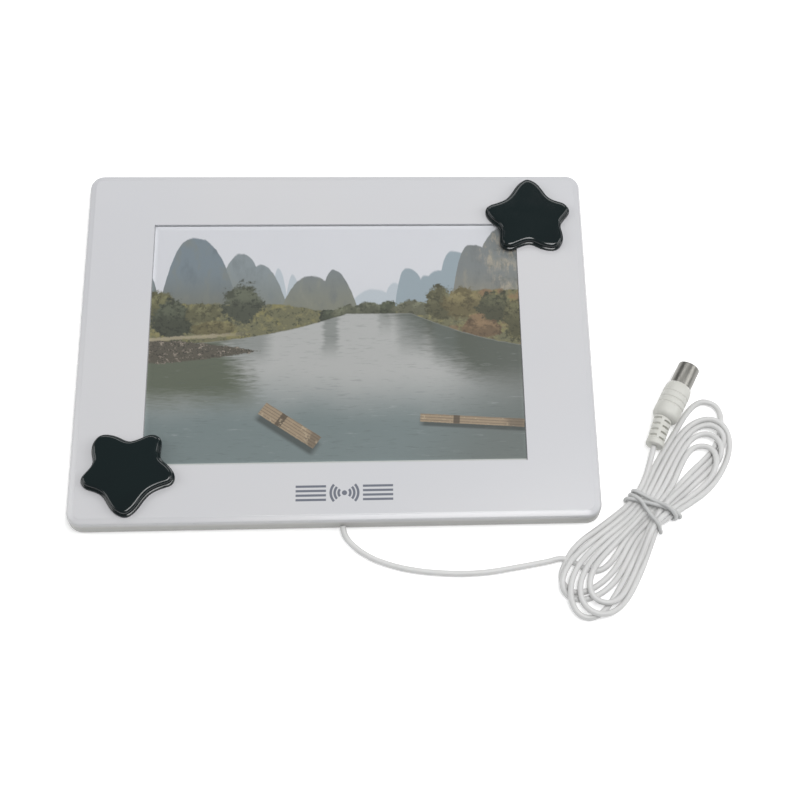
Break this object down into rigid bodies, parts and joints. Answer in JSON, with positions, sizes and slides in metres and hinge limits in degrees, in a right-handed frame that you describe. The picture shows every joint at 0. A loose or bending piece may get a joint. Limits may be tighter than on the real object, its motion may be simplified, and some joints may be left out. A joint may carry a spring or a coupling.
{
  "type": "photo frame television aerial",
  "caption": "Flat picture-frame indoor television aerial: print under a clear cover, star magnets at two corners, fold-out leg and a tied coaxial lead with push-on plug.",
  "frame": {"origin": "centre of the plate, on the surface it lies on, at the bottom of the rubber feet", "axes": "+X to the right of the picture, +Y towards the picture's top, +Z out of the picture"},
  "size_m": [0.3117, 0.2335, 0.014],
  "materials": {
    "gloss_white": "glossy moulded, rolled front edge",
    "satin_white": "fine moulded texture",
    "zinc_steel": "bright zinc plate",
    "dark_rubber": "matte rubber",
    "print_paper": "glossy colour print of a made-up river view",
    "clear_acrylic": "clear, polished",
    "star_plastic": "gloss, very dark blue green",
    "magnet_nickel": "bright nickel",
    "tinplate": "bright tinplate",
    "circuit_board": "solder mask",
    "ferrite": "sintered, matte",
    "ceramic_chip": "fired ceramic",
    "cord_jacket": "smooth soft vinyl",
    "copper": "bare copper",
    "tie_plastic": "soft grey vinyl over wire",
    "grip_plastic": "satin moulded, warm light grey",
    "plug_nickel": "nickel plate",
    "insulator_plastic": "natural polyethylene"
  },
  "bodies": {
    "frame": {"front_shell": "gloss_white", "rear_cover": "satin_white", "case_screws": "zinc_steel", "rubber_feet": "dark_rubber", "keeper_discs": "zinc_steel", "antenna_loop": "tinplate", "balun_board": "circuit_board", "balun_core": "ferrite", "chip_parts": "ceramic_chip", "coax_inner": "cord_jacket", "coax_core": "copper", "cable_clamp": "satin_white", "clamp_screws": "zinc_steel", "hinge_pin": "zinc_steel", "cord_lead": "cord_jacket", "cord_hank": "cord_jacket", "cord_tail": "cord_jacket", "twist_tie": "tie_plastic", "plug_boot": "grip_plastic", "plug_grip": "grip_plastic", "plug_shell": "plug_nickel", "plug_insulator": "insulator_plastic", "plug_pin": "plug_nickel"},
    "print": {"photo_print": "print_paper"},
    "cover": {"clear_cover": "clear_acrylic"},
    "top_star": {"star_top": "star_plastic", "star_top_magnet": "magnet_nickel"},
    "bottom_star": {"star_bottom": "star_plastic", "star_bottom_magnet": "magnet_nickel"},
    "leg": {"stand_leg": "satin_white", "leg_pad": "dark_rubber"}
  },
  "joints": [
    {"name": "print_lift", "type": "slide", "parent": "frame", "child": "print", "axis": [0, 0, 1], "range_m": [0, 0.02]},
    {"name": "cover_lift", "type": "slide", "parent": "print", "child": "cover", "axis": [0, 0, 1], "range_m": [0, 0.02]},
    {"name": "star_top_lift", "type": "slide", "parent": "cover", "child": "top_star", "axis": [0, 0, 1], "range_m": [0, 0.025]},
    {"name": "star_bottom_lift", "type": "slide", "parent": "cover", "child": "bottom_star", "axis": [0, 0, 1], "range_m": [0, 0.025]},
    {"name": "leg_fold", "type": "hinge", "parent": "frame", "child": "leg", "pos_m": [0, 0.045, 0.0026], "axis": [1, 0, 0], "range_deg": [0, 35]}
  ]
}
